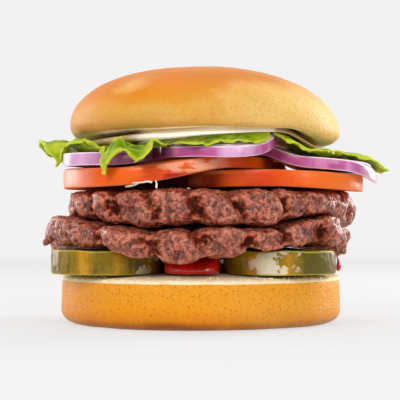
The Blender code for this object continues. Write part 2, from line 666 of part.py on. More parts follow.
def leaf_point(leaf, across, along):
    """A point of the leaf's middle surface, from -1 to 1 across it and from 0 to 1 along it."""
    first, last = leaf["span"]
    frill_size, frills_along, frills_across = LEAF_FRILL
    frill = 1 + frill_size * math.sin(frills_along * along + frills_across * across)
    width = LEAF_ROOT_WIDTH + (1 - LEAF_ROOT_WIDTH) * along
    heading = (first + last) / 2 + (last - first) / 2 * across * width * frill
    angle = math.radians(heading)
    corner_cut, corner_start = LEAF_CORNER
    corner = 1 - corner_cut * smooth_step(corner_start, 1.0, abs(across))
    length = (leaf["length"] + bumps(heading, leaf["lobes"])) * corner * along
    droop = leaf["droop"] + bumps(heading, leaf["droops"])
    out, down = fallen_path(length, leaf["fall"] - leaf["root"], droop)
    free = smooth_step(*LEAF_FREE_SHARE, along)
    turns = leaf["waves"] * across / 2 + leaf["phase"]
    wave = math.sin(2 * math.pi * turns + LEAF_WAVE_SKEW * along)
    hanging = math.sin(math.radians(min(90.0, droop))) * smooth_step(*LEAF_HANG_SHARE, along)
    radius = leaf["root"] + out + leaf["ruffle"] * wave * hanging
    x, y = radius * math.cos(angle), radius * math.sin(angle)
    held = min(radius, leaf["fall"])
    start = FILLING_TOP(held * math.cos(angle), held * math.sin(angle)) + LEAF_CLEARANCE + leaf["raised"]
    height = start + leaf["ruffle"] * free * (1 - hanging) * wave - down
    height = max(height, FILLING_SIDES(x, y) + LEAF_SIDE_CLEARANCE)
    return Vector((x, y, min(height, leaf_ceiling(x, y) - LEAF_HEADROOM)))


def make_leaf(name, leaf, collection, material):
    """A lettuce leaf: a ruffled grid, split into triangles before it gets its thickness."""
    mesh = bpy.data.meshes.new(name)
    shape = bmesh.new()
    bmesh.ops.create_grid(shape, x_segments=leaf["columns"], y_segments=LEAF_ROWS, size=1.0)
    for vertex in shape.verts:
        vertex.co = leaf_point(leaf, vertex.co.x, (vertex.co.y + 1) / 2)
    bmesh.ops.triangulate(shape, faces=shape.faces)
    shape.to_mesh(mesh)
    shape.free()
    obj = place(name, mesh, material, collection)
    solidify = obj.modifiers.new("Thickness", "SOLIDIFY")
    solidify.thickness = LEAF_THICKNESS
    solidify.offset = 0.0
    return obj


def make_material(name):
    """A plain finish with the part's colour and gloss."""
    material = bpy.data.materials.new(name)
    material.use_nodes = True
    shader = material.node_tree.nodes["Principled BSDF"]
    shader.inputs["Base Color"].default_value = (*RGB[name], 1.0)
    shader.inputs["Roughness"].default_value = ROUGHNESS.get(name, SAUCE_ROUGHNESS)
    shader.inputs["Metallic"].default_value = 0.0
    material.diffuse_color = (*RGB[name], 1.0)
    return material


def main():
    for obj in list(bpy.data.objects):
        bpy.data.objects.remove(obj)
    burger = bpy.data.collections.new(COLLECTION)
    bpy.context.scene.collection.children.link(burger)
    finish = {name: make_material(name) for name in RGB}
    make_heel(burger, finish["crust"])
    make_pickles(burger, finish["pickle"])
    make_ketchup(burger, finish["ketchup"])
    lower = (LOWER_PATTY, LOWER_PATTY_FLARE, LOWER_CREASES, lower_patty_bottom, lower_patty_top)
    make_patty("patty_lower", *lower, burger, finish["beef"])
    upper = (UPPER_PATTY, 0.0, UPPER_CREASES, upper_patty_bottom, upper_patty_top)
    make_patty("patty_upper", *upper, burger, finish["beef"])
    make_tomatoes(burger, finish["tomato"])
    make_onions(burger, finish["onion"])
    for name, leaf in LEAVES.items():
        make_leaf(name, leaf, burger, finish["lettuce"])
    make_mayonnaise(burger, finish["mayonnaise"])
    make_crown(burger, finish["crust"])


main()
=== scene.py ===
"""Looks of the double hamburger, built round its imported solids.

Every edible piece starts as a welded copy of its solid, gets the relief that its food has, and then stands
for that solid. -Y is the front, +Z is up, and everything is in metres.
"""

import math

import bmesh
import bpy
import numpy as np
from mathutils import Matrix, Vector
from mathutils.bvhtree import BVHTree
from mathutils.kdtree import KDTree


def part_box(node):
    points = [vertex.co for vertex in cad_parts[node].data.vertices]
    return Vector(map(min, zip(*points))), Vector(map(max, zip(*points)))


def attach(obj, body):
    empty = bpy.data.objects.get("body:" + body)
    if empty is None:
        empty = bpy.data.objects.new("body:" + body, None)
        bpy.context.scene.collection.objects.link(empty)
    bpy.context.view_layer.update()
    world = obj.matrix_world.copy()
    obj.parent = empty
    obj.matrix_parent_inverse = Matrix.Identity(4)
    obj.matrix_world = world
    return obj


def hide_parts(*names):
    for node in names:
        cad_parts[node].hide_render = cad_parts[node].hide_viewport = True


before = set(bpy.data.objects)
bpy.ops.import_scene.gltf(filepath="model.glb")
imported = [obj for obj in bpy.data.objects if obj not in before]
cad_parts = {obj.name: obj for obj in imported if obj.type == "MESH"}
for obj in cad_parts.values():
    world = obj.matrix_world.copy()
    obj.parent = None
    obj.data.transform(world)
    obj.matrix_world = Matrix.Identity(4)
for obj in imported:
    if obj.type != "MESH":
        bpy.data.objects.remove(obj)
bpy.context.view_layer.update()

MM = 0.001
ROOT = "root"

TOMATOES = ("tomato_left", "tomato_right", "tomato_back")
ONIONS = ("onion_left", "onion_right", "onion_centre", "onion_back")
PICKLES = ("pickle_front_left", "pickle_front_right", "pickle_back_left", "pickle_back_right")
PATTIES = ("patty_lower", "patty_upper")
LEAVES = ("lettuce_left", "lettuce_front", "lettuce_centre", "lettuce_right", "lettuce_back")

# Slices by slot: their nodes, and how high their swells and their grain stand
SLICES = (
    ("tomato", TOMATOES, 1.0 * MM, 0.25 * MM),
    ("onion", ONIONS, 0.7 * MM, 0.2 * MM),
    ("pickle", PICKLES, 1.8 * MM, 0.7 * MM),
)

# Mince: where the rim starts and is full, measured from the middle, and how the granules are fused
PATTY_RIM = (38 * MM, 47 * MM)
FUSE_VOXEL = 0.50 * MM
KEPT_SHARE = 0.66
# Its creases: how far they wander, lean and shift with the seed, how wide and sharp they are, and the
# turns in radians between which they fade out behind
CREASE_WANDER = 9 * MM
CREASE_LEAN = 0.3
CREASE_STEP = 0.37
CREASE_WIDTH = 0.36
CREASE_SHARPNESS = 1.6
BACK_SEAM = (3.05, 2.85)
# What counts as crevice and skin, and as hollow and tip after so many rounds of smoothing, for its colour:
# painted shade in the crevices and hollows, painted light on the tips
CREVICE_TO_SKIN = (-3.4 * MM, 0.7 * MM)
HOLLOW_TO_TIP = (-0.14 * MM, 0.17 * MM)
SMOOTH_ROUNDS = 5

GRAIN_TURN_SEED = 7
CRUMB_RIM = (45 * MM, 50 * MM)
WELD_DISTANCE = 0.002 * MM

LEAF_THICKNESS = 0.95 * MM
LEAF_MARGIN = 7 * MM
LEAF_FREE = (40 * MM, 52 * MM)
RAY_START = 0.05 * MM
RAY_REACH = 2 * MM

TRICKLE_SIDES = 8
# Mayonnaise run out from under the left tomato: places across and up the front, in mm
DRIPS = (
    ((-26.3, 49.9), (-24.6, 50.1), (-22.6, 50.5), (-21.4, 51.2)),
    ((-24.0, 51.0), (-22.0, 51.4), (-20.0, 51.3), (-18.4, 52.0), (-16.6, 51.3)),
    ((-15.3, 52.5), (-15.6, 51.6), (-15.0, 50.8), (-15.5, 50.0), (-15.1, 49.3)),
)
DRIP_FRONT = -45.9
ABOVE_PATTY = 60
# Scraps that cling to the stack: name, slot, places along each and its radius at each, in mm
SCRAPS = (
    (
        "ketchup_drip",
        "ketchup",
        (
            (49.5, -25.5, 25.4),
            (50.0, -25.5, 24.0),
            (50.2, -25.5, 22.0),
            (50.0, -25.5, 20.6),
            (49.6, -25.5, 20.0),
        ),
        (0.25, 0.5, 1.0, 0.9, 0.4),
    ),
    (
        "meat_shred",
        "beef",
        ((48.4, -25.5, 30.0), (49.4, -25.5, 28.2), (49.8, -25.5, 26.6), (49.5, -25.5, 25.2)),
        (0.5, 0.4, 0.3, 0.2),
    ),
    (
        "tomato_pulp",
        "tomato",
        ((26.5, -12.5, 58.0), (27.8, -10.0, 58.9), (29.4, -6.5, 58.6), (30.9, -3.0, 57.7), (32.0, 0.5, 57.0)),
        (1.6, 2.6, 2.7, 2.1, 1.2),
    ),
    (
        "meat_crumb",
        "beef",
        ((-58.9, -12.0, 29.8), (-58.2, -12.0, 29.9), (-57.2, -12.0, 30.7), (-55.0, -12.0, 32.2)),
        (0.9, 1.4, 1.5, 1.9),
    ),
)

# The studio, in metres and watts: how the paper's glow changes with distance, the sweep's measures, and
# each lamp's name, place, size and power
GLOW_REACH = (0.2, 1.5)
PAPER_GLOW = (0.605, 0.768)
SWEEP_SIDE, SWEEP_FRONT, SWEEP_BACK, SWEEP_CURVE, SWEEP_TOP = 6.0, -1.6, 1.2, 0.6, 3.0
SWEEP_ROWS = 24
AMBIENT_LIGHT = 0.34
LAMPS = (
    ("key", (-0.40, -0.62, 0.46), (0.30, 0.30), 3.1),
    ("fill", (0.46, -0.62, 0.30), (0.20, 0.34), 1.7),
    ("overhead", (0.0, 0.10, 0.75), (0.7, 0.7), 2.0),
    ("rim_left", (-0.50, 0.32, 0.20), (0.22, 0.45), 1.5),
    ("rim_right", (0.50, 0.34, 0.26), (0.22, 0.45), 3.0),
)
LAMP_TARGET = (0, 0, 0.05)
CAMERA_PLACE = (-0.0002, -0.480, 0.0356)
CAMERA_TILT_DEG = 91.28
CAMERA_LENS_MM = 112.8


def smooth_step(low, high, value):
    """0 below low, 1 above high and an even S between, for arrays."""
    share = np.clip((value - low) / (high - low), 0.0, 1.0)
    return share * share * (3 - 2 * share)


def add_node(tree, kind, values=None, **settings):
    """A node with its settings, and each input given as a number, a colour or another node's socket."""
    made = tree.nodes.new(kind)
    for name, value in settings.items():
        setattr(made, name, value)
    for key, value in (values or {}).items():
        if isinstance(value, bpy.types.NodeSocket):
            tree.links.new(value, made.inputs[key])
        else:
            made.inputs[key].default_value = value
    return made


def calculate(tree, operation, first, second=0.0, third=0.0, clamp=False):
    """The result of a Math node."""
    made = add_node(tree, "ShaderNodeMath", {0: first, 1: second, 2: third}, operation=operation)
    made.use_clamp = clamp
    return made.outputs[0]


def remap(tree, value, low, high, to_low=0.0, to_high=1.0):
    """A value carried from one range to another, with soft ends."""
    numbers = {0: value, 1: low, 2: high, 3: to_low, 4: to_high}
    return add_node(tree, "ShaderNodeMapRange", numbers, interpolation_type="SMOOTHSTEP").outputs[0]


# Meshes taken from the solids


def new_object(name, data):
    made = bpy.data.objects.new(name, data)
    bpy.context.scene.collection.objects.link(made)
    return made


def welded_copy(node, name, crease_deg=None, crease=0.0):
    """A new piece shaped as a solid, its loose triangles merged and paired and its corners creased."""
    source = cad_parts[node].data
    points = np.zeros(len(source.vertices) * 3, np.float32)
    source.vertices.foreach_get("co", points)
    points, index = np.unique(points.reshape(-1, 3), axis=0, return_inverse=True)
    index = index.reshape(-1)
    faces = [[int(index[v]) for v in face.vertices] for face in source.polygons]
    mesh = bpy.data.meshes.new(name)
    mesh.from_pydata(points.tolist(), [], [face for face in faces if len(set(face)) == 3])
    shape = bmesh.new()
    shape.from_mesh(mesh)
    bmesh.ops.remove_doubles(shape, verts=shape.verts, dist=WELD_DISTANCE)
    bmesh.ops.join_triangles(
        shape,
        faces=shape.faces,
        angle_face_threshold=math.radians(35),
        angle_shape_threshold=math.radians(60),
    )
    if crease_deg is not None:
        layer = shape.edges.layers.float.new("crease_edge")
        for edge in shape.edges:
            if edge.calc_face_angle(0.0) > math.radians(crease_deg):
                edge[layer] = crease
    shape.to_mesh(mesh)
    shape.free()
    return new_object(name, mesh)


def settle(piece):
    """Turns a piece and its modifiers into a plain mesh."""
    graph = bpy.context.evaluated_depsgraph_get()
    mesh = bpy.data.meshes.new_from_object(piece.evaluated_get(graph))
    piece.modifiers.clear()
    spent = piece.data
    piece.data = mesh
    bpy.data.meshes.remove(spent)
    return piece


def subdivide(piece, levels):
    soften = piece.modifiers.new("Soften", "SUBSURF")
    soften.levels = levels
    soften.render_levels = levels
    return settle(piece)


def positions(mesh):
    points = np.zeros(len(mesh.vertices) * 3, np.float32)
    mesh.vertices.foreach_get("co", points)
    return points.reshape(-1, 3).astype(float)


def normals(mesh):
    directions = np.zeros(len(mesh.vertices) * 3, np.float32)
    mesh.vertex_normals.foreach_get("vector", directions)
    return directions.reshape(-1, 3).astype(float)


def surface_of(mesh):
    """The mesh as a surface that rays and nearest points are found on."""
    return BVHTree.FromPolygons(positions(mesh).tolist(), [list(face.vertices) for face in mesh.polygons])


def swollen(mesh, rounds):
    """How far each point stands out from the smoothed surface round it, below 0 in a hollow."""
    ends = np.zeros(len(mesh.edges) * 2, np.int32)
    mesh.edges.foreach_get("vertices", ends)
    first, second = ends.reshape(-1, 2).T
    points = positions(mesh)
    size = len(points)
    count = np.bincount(ends, minlength=size)[:, None]
    smooth = points
    for _ in range(rounds):
        total = [
            np.bincount(first, smooth[second, axis], size) + np.bincount(second, smooth[first, axis], size)
            for axis in range(3)
        ]
        smooth = np.stack(total, axis=1) / count
    return ((points - smooth) * normals(mesh)).sum(axis=1)


def store(mesh, name, values):
    """A number for each point of a mesh, which its relief and its finish read by name."""
    layer = mesh.attributes.get(name) or mesh.attributes.new(name, "FLOAT", "POINT")
    layer.data.foreach_set("value", np.asarray(values, np.float32).ravel())


def store_vector(mesh, name, values):
    layer = mesh.attributes.get(name) or mesh.attributes.new(name, "FLOAT_VECTOR", "POINT")
    layer.data.foreach_set("vector", np.asarray(values, np.float32).ravel())


def serve(piece, slot, *nodes):
    """The finished piece rides with the burger and stands for its solids."""
    piece.data.shade_smooth()
    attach(piece, ROOT)
    if nodes:
        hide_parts(*nodes)
    return piece


# Geometry node trees


def new_tree(name, inputs):
    """A geometry tree with named inputs, and its input and output nodes."""
    tree = bpy.data.node_groups.new(name, "GeometryNodeTree")
    tree.interface.new_socket(name="Geometry", in_out="INPUT", socket_type="NodeSocketGeometry")
    for label, kind, value in inputs:
        socket = tree.interface.new_socket(name=label, in_out="INPUT", socket_type=kind)
        if value is not None:
            socket.default_value = value
    tree.interface.new_socket(name="Geometry", in_out="OUTPUT", socket_type="NodeSocketGeometry")
    return tree, tree.nodes.new("NodeGroupInput"), tree.nodes.new("NodeGroupOutput")


def end_tree(tree, geometry, given, out):
    """Instances made real, the finish given, and the result sent out."""
    real = add_node(tree, "GeometryNodeRealizeInstances", {"Geometry": geometry})
    values = {"Geometry": real.outputs[0], "Material": given.outputs["Material"]}
    finished = add_node(tree, "GeometryNodeSetMaterial", values)
    tree.links.new(finished.outputs[0], out.inputs[0])
    return tree


def run_tree(piece, tree, values):
    """Runs a tree on a piece with the values named, and keeps the result as a plain mesh."""
    modifier = piece.modifiers.new(tree.name, "NODES")
    modifier.node_group = tree
    for item in tree.interface.items_tree:
        if item.in_out == "INPUT" and item.name in values:
            modifier[item.identifier] = values[item.name]
    return settle(piece)


def read_field(tree, name):
    made = add_node(tree, "GeometryNodeInputNamedAttribute", {"Name": name}, data_type="FLOAT")
    return made.outputs["Attribute"]


def noise_4d(tree, vector, scale, seed, detail=2.0, roughness=0.5):
    values = {"Vector": vector, "W": seed, "Scale": scale, "Detail": detail, "Roughness": roughness}
    return add_node(tree, "ShaderNodeTexNoise", values, noise_dimensions="4D")


def scaled(tree, vector, size):
    return add_node(tree, "ShaderNodeVectorMath", {0: vector, "Scale": size}, operation="SCALE").outputs[0]


def centred(tree, waves):
    """A noise colour made a vector round zero."""
    values = {0: waves.outputs["Color"], 1: (0.5, 0.5, 0.5)}
    return add_node(tree, "ShaderNodeVectorMath", values, operation="SUBTRACT").outputs[0]


def shifted(tree, geometry, offset):
    return add_node(tree, "GeometryNodeSetPosition", {"Geometry": geometry, "Offset": offset}).outputs[0]


def relief_tree():
    """Swells, a fine grain and small pits along the surface, each as strong as the field "room" allows."""
    sizes = ("Swell Scale", "Swell Height", "Grain Scale", "Grain Height", "Pit Scale", "Pit Depth", "Seed")
    inputs = [(label, "NodeSocketFloat", 0.0) for label in sizes]
    tree, given, out = new_tree("Relief", [*inputs, ("Material", "NodeSocketMaterial", None)])
    place = tree.nodes.new("GeometryNodeInputPosition").outputs[0]
    seed = given.outputs["Seed"]
    heights = []
    for label, detail, roughness in (("Swell", 2.0, 0.5), ("Grain", 3.0, 0.6)):
        waves = noise_4d(tree, place, given.outputs[label + " Scale"], seed, detail, roughness).outputs[0]
        waves = calculate(tree, "SUBTRACT", waves, 0.5)
        heights.append(calculate(tree, "MULTIPLY", waves, given.outputs[label + " Height"]))
    cells = {"Vector": place, "W": seed, "Scale": given.outputs["Pit Scale"], "Randomness": 1.0}
    cell = add_node(tree, "ShaderNodeTexVoronoi", cells, voronoi_dimensions="4D")
    pit = remap(tree, cell.outputs["Distance"], 0.0, 0.42, 1.0, 0.0)
    pit = calculate(tree, "MULTIPLY", pit, given.outputs["Pit Depth"])
    height = calculate(tree, "SUBTRACT", calculate(tree, "ADD", *heights), pit)
    height = calculate(tree, "MULTIPLY", height, read_field(tree, "room"))
    normal = tree.nodes.new("GeometryNodeInputNormal").outputs[0]
    return end_tree(tree, shifted(tree, given.outputs[0], scaled(tree, normal, height)), given, out)


def crumple_tree():
    """A leaf's blisters and frilled margin: both faces move together, most where "frill" is high."""
    sizes = ("Blister Scale", "Blister Height", "Frill Scale", "Frill Height", "Seed")
    inputs = [(label, "NodeSocketFloat", 0.0) for label in sizes]
    tree, given, out = new_tree("Crumple", [*inputs, ("Material", "NodeSocketMaterial", None)])
    place = tree.nodes.new("GeometryNodeInputPosition").outputs[0]
    seed = given.outputs["Seed"]
    moved = given.outputs[0]
    for label, share, detail in (("Blister", "room", 2.0), ("Frill", "frill", 1.0)):
        waves = noise_4d(tree, place, given.outputs[label + " Scale"], seed, detail)
        size = calculate(tree, "MULTIPLY", read_field(tree, share), given.outputs[label + " Height"])
        moved = shifted(tree, moved, scaled(tree, centred(tree, waves), size))
    return end_tree(tree, moved, given, out)


def random_vector(tree, low, high, seed):
    values = {0: (low, low, low), 1: (high, high, high), 8: seed}
    return add_node(tree, "FunctionNodeRandomValue", values, data_type="FLOAT_VECTOR").outputs[0]


def scatter(tree, body, given, grain, low, high, size):
    """Copies of a grain on a body, thickest where "shown" is high, each turned and sized at random."""
    density = calculate(tree, "MULTIPLY", given.outputs["Density"], read_field(tree, "shown"))
    seed = given.outputs["Seed"]
    values = {"Mesh": body, "Density": density, "Seed": seed}
    spots = add_node(tree, "GeometryNodeDistributePointsOnFaces", values, distribute_method="RANDOM")
    values = {"Points": spots.outputs[0], "Instance": grain}
    values["Scale"] = scaled(tree, random_vector(tree, low, high, seed), size)
    values["Rotation"] = random_vector(tree, -math.pi, math.pi, GRAIN_TURN_SEED)
    return add_node(tree, "GeometryNodeInstanceOnPoints", values).outputs[0]


def round_grain(tree):
    return add_node(tree, "GeometryNodeMeshIcoSphere", {"Radius": 1.0, "Subdivisions": 2}).outputs[0]


def crease_depth(tree, place, given):
    """How deep a crease runs at each place round the rim: 1 on its line, 0 on the lobes between."""
    wander = noise_4d(tree, place, 75.0, 3.1, 2.0).outputs[0]
    x, y, z = add_node(tree, "ShaderNodeSeparateXYZ", {0: place}).outputs
    turn = calculate(tree, "ARCTAN2", x, calculate(tree, "MULTIPLY", y, -1.0))
    lean = calculate(tree, "MULTIPLY", z, CREASE_LEAN)
    around = calculate(tree, "MULTIPLY_ADD", turn, given.outputs["Rim Radius"], lean)
    around = calculate(tree, "MULTIPLY_ADD", wander, CREASE_WANDER, around)
    around = calculate(tree, "MULTIPLY_ADD", given.outputs["Seed"], CREASE_STEP, around)
    values = {"W": around, "Scale": given.outputs["Lobe Scale"], "Randomness": 0.8}
    settings = {"feature": "DISTANCE_TO_EDGE", "voronoi_dimensions": "1D"}
    lobe = add_node(tree, "ShaderNodeTexVoronoi", values, **settings)
    crease = remap(tree, lobe.outputs["Distance"], 0.0, CREASE_WIDTH, 1.0, 0.0)
    crease = calculate(tree, "POWER", crease, CREASE_SHARPNESS)
    uneven = remap(tree, noise_4d(tree, place, 60.0, 9.2, 1.0).outputs[0], 0.35, 0.6, 0.35, 1.0)
    crease = calculate(tree, "MULTIPLY", crease, uneven)
    return calculate(tree, "MULTIPLY", crease, remap(tree, calculate(tree, "ABSOLUTE", turn), *BACK_SEAM))


def mince_tree():
    """Ground beef: the body drawn in a little, with granules of mince set into its skin."""
    sizes = ("Granule Size", "Inset", "Lobe Scale", "Lobe Depth", "Rim Radius", "Swell")
    sizes += ("Lump Scale", "Lump Height", "Density")
    inputs = [(label, "NodeSocketFloat", 0.0) for label in sizes]
    inputs += [("Seed", "NodeSocketInt", 1), ("Material", "NodeSocketMaterial", None)]
    tree, given, out = new_tree("Mince", inputs)
    place = tree.nodes.new("GeometryNodeInputPosition").outputs[0]
    normal = tree.nodes.new("GeometryNodeInputNormal").outputs[0]
    values = {"Vector": place, "Scale": given.outputs["Lump Scale"]}
    lump = add_node(tree, "ShaderNodeTexVoronoi", values, feature="SMOOTH_F1").outputs["Distance"]
    sunk = calculate(tree, "MULTIPLY", crease_depth(tree, place, given), given.outputs["Lobe Depth"])
    sunk = calculate(tree, "MULTIPLY_ADD", lump, given.outputs["Lump Height"], sunk)
    sunk = calculate(tree, "SUBTRACT", sunk, given.outputs["Swell"])
    depth = calculate(tree, "MULTIPLY_ADD", sunk, read_field(tree, "room"), given.outputs["Inset"])
    inward = calculate(tree, "MULTIPLY", depth, -1.0)
    body = shifted(tree, given.outputs[0], scaled(tree, normal, inward))
    granules = scatter(tree, body, given, round_grain(tree), 0.5, 1.45, given.outputs["Granule Size"])
    joined = tree.nodes.new("GeometryNodeJoinGeometry")
    tree.links.new(granules, joined.inputs[0])
    tree.links.new(body, joined.inputs[0])
    return end_tree(tree, joined.outputs[0], given, out)


def crumb_tree():
    """Bread crumbs on the surface, each a small uneven lump."""
    inputs = [(label, "NodeSocketFloat", 0.0) for label in ("Crumb Size", "Density")]
    inputs += [("Seed", "NodeSocketInt", 1), ("Material", "NodeSocketMaterial", None)]
    tree, given, out = new_tree("Crumbs", inputs)
    place = tree.nodes.new("GeometryNodeInputPosition").outputs[0]
    uneven = add_node(tree, "ShaderNodeTexNoise", {"Vector": place, "Scale": 1.6, "Detail": 1.0})
    crumb = shifted(tree, round_grain(tree), centred(tree, uneven))
    crumbs = scatter(tree, given.outputs[0], given, crumb, 0.45, 1.3, given.outputs["Crumb Size"])
    return end_tree(tree, crumbs, given, out)


# Finishes


class Finish:
    """A material on the Principled shader, with short ways to add the textures of food."""

    def __init__(self, name):
        self.material = bpy.data.materials.new(name)
        self.material.use_nodes = True
        self.tree = self.material.node_tree
        self.shader = self.tree.nodes["Principled BSDF"]
        self.place = self.tree.nodes.new("ShaderNodeTexCoord").outputs["Object"]
        self.relief = None

    def set(self, **values):
        """Puts a plain value or another node's socket on the shader, by names with _ for a space."""
        for name, value in values.items():
            socket = self.shader.inputs[name.replace("_", " ")]
            if isinstance(value, bpy.types.NodeSocket):
                self.tree.links.new(value, socket)
            else:
                socket.default_value = value

    def field(self, name):
        return add_node(self.tree, "ShaderNodeAttribute", attribute_name=name).outputs["Fac"]

    def vector(self, name):
        return add_node(self.tree, "ShaderNodeAttribute", attribute_name=name).outputs["Vector"]

    def axes(self, vector=None):
        return add_node(self.tree, "ShaderNodeSeparateXYZ", {0: vector or self.place}).outputs

    def stretched(self, scale, vector=None):
        values = {"Vector": vector or self.place, "Scale": scale}
        return add_node(self.tree, "ShaderNodeMapping", values).outputs[0]

    def noise(self, scale, detail=3.0, roughness=0.55, vector=None):
        values = {"Vector": vector or self.place, "Scale": scale, "Detail": detail, "Roughness": roughness}
        return add_node(self.tree, "ShaderNodeTexNoise", values).outputs[0]

    def cells(self, scale, feature="F1", vector=None, output="Distance"):
        values = {"Vector": vector or self.place, "Scale": scale}
        return add_node(self.tree, "ShaderNodeTexVoronoi", values, feature=feature).outputs[output]

    def ramp(self, value, *stops):
        """Colours along a value, each stop a position and an RGB colour."""
        made = add_node(self.tree, "ShaderNodeValToRGB", {0: value})
        marks = made.color_ramp.elements
        while len(marks) < len(stops):
            marks.new(0.5)
        for mark, (at, colour) in zip(marks, stops):
            mark.position = at
            mark.color = (*colour, 1.0)
        return made.outputs[0]

    def mix(self, share, first, second, blend="MIX"):
        made = add_node(self.tree, "ShaderNodeMix", data_type="RGBA", blend_type=blend)
        for key, value in ((0, share), (6, first), (7, second)):
            if isinstance(value, bpy.types.NodeSocket):
                self.tree.links.new(value, made.inputs[key])
            else:
                made.inputs[key].default_value = value if key == 0 else (*value, 1.0)
        return made.outputs[2]

    def math(self, operation, first, second=0.0, third=0.0, clamp=False):
        return calculate(self.tree, operation, first, second, third, clamp)

    def product(self, *factors):
        result = factors[0]
        for factor in factors[1:]:
            result = self.math("MULTIPLY", result, factor)
        return result

    def shaken(self, value, waves, amount, clamp=False):
        """A value made uneven: waves from 0 to 1 move it by up to half that amount either way."""
        return self.math("ADD", value, self.math("MULTIPLY_ADD", waves, amount, -amount / 2), clamp=clamp)

    def remap(self, value, low, high, to_low=0.0, to_high=1.0):
        return remap(self.tree, value, low, high, to_low, to_high)

    def across_slice(self):
        """How far from a slice's middle a point lies, 1 at the rim, and its turn round the middle."""
        u, v, _ = self.axes(self.vector("slice"))[:3]
        squares = self.math("ADD", self.math("MULTIPLY", u, u), self.math("MULTIPLY", v, v))
        return self.math("SQRT", squares), self.math("ARCTAN2", v, u)

    def bump(self, height, depth, strength=1.0):
        """Adds a layer of fine relief of that depth in metres."""
        values = {"Height": height, "Distance": depth, "Strength": strength}
        if self.relief is not None:
            values["Normal"] = self.relief
        self.relief = add_node(self.tree, "ShaderNodeBump", values).outputs[0]
        self.tree.links.new(self.relief, self.shader.inputs["Normal"])


def crust_finish(name, reach, bands, cream, blotch, freckles, mottling, browning):
    """Baked crust that darkens up the bun along bands of colour, with cream crumb; painted light pales its
    right side, tints its left side pink and adds pale sheen patches.
    """
    finish = Finish(name)
    x, _, z = finish.axes()[:3]
    height = finish.shaken(finish.remap(z, *reach), finish.noise(45, 3), blotch, clamp=True)
    crust = finish.ramp(height, *bands)
    across = finish.shaken(x, finish.noise(60, 3), 30 * MM)
    # Painted light: the right side is paled towards cream, as a lamp on that side would, by the cream share.
    pale = finish.remap(across, -2 * MM, 28 * MM, 0.0, cream)
    pale = finish.product(pale, finish.remap(height, 0.95, 0.45))
    crust = finish.mix(pale, crust, (0.80, 0.53, 0.16))
    warm = finish.product(finish.remap(across, 12 * MM, -14 * MM), finish.remap(height, 0.30, 0.62), browning)
    crust = finish.mix(warm, crust, (0.72, 0.20, 0.002))
    # Painted rim light: the left side is tinted pink, as light from behind on the left would.
    rosy = finish.remap(across, -24 * MM, -54 * MM, 0.0, 0.45)
    crust = finish.mix(rosy, crust, (0.66, 0.22, 0.045))
    # Painted sheen: pale streaky patches below the top stand for soft highlights on the crust.
    mottle = finish.remap(finish.noise(1.0, 3, vector=finish.stretched((26.0, 26.0, 60.0))), 0.50, 0.68)
    mottle = finish.product(mottle, finish.remap(height, 0.95, 0.6, 0.0, mottling))
    crust = finish.mix(mottle, crust, (0.86, 0.56, 0.20))
    speckles = finish.remap(finish.noise(900, 2), 0.42, 0.68)
    crust = finish.mix(finish.math("MULTIPLY", speckles, 0.25), crust, (0.60, 0.22, 0.02))
    dots = finish.remap(finish.cells(720), 0.30, 0.12, 0.0, freckles)
    crust = finish.mix(dots, crust, (0.42, 0.12, 0.008))
    crumb = finish.ramp(finish.noise(420, 4), (0.3, (0.90, 0.70, 0.38)), (0.7, (0.97, 0.86, 0.62)))
    torn = finish.shaken(finish.field("crumb"), finish.noise(160, 3), 0.7)
    cut = finish.remap(torn, 0.42, 0.6)
    finish.set(Base_Color=finish.mix(cut, crust, crumb))
    finish.set(Roughness=finish.mix(cut, (0.42, 0.42, 0.42), (0.85, 0.85, 0.85)))
    finish.set(Specular_IOR_Level=0.10, Subsurface_Weight=0.12, Subsurface_Scale=2 * MM)
    finish.set(Subsurface_Radius=(1.0, 0.5, 0.2), Sheen_Weight=0.02, Sheen_Roughness=0.4)
    finish.set(Sheen_Tint=(1.0, 0.86, 0.78, 1.0))
    pores = finish.cells(650, vector=finish.stretched((1.0, 1.0, 1.4)))
    finish.bump(finish.remap(pores, 0.0, 0.5), 0.16 * MM, 0.7)
    finish.bump(finish.noise(1500, 3), 0.10 * MM, 0.6)
    finish.bump(finish.noise(260, 4), 0.24 * MM, 0.5)
    finish.bump(finish.noise(1.0, 4, vector=finish.stretched((70.0, 70.0, 170.0))), 0.5 * MM, 0.35)
    return finish.material


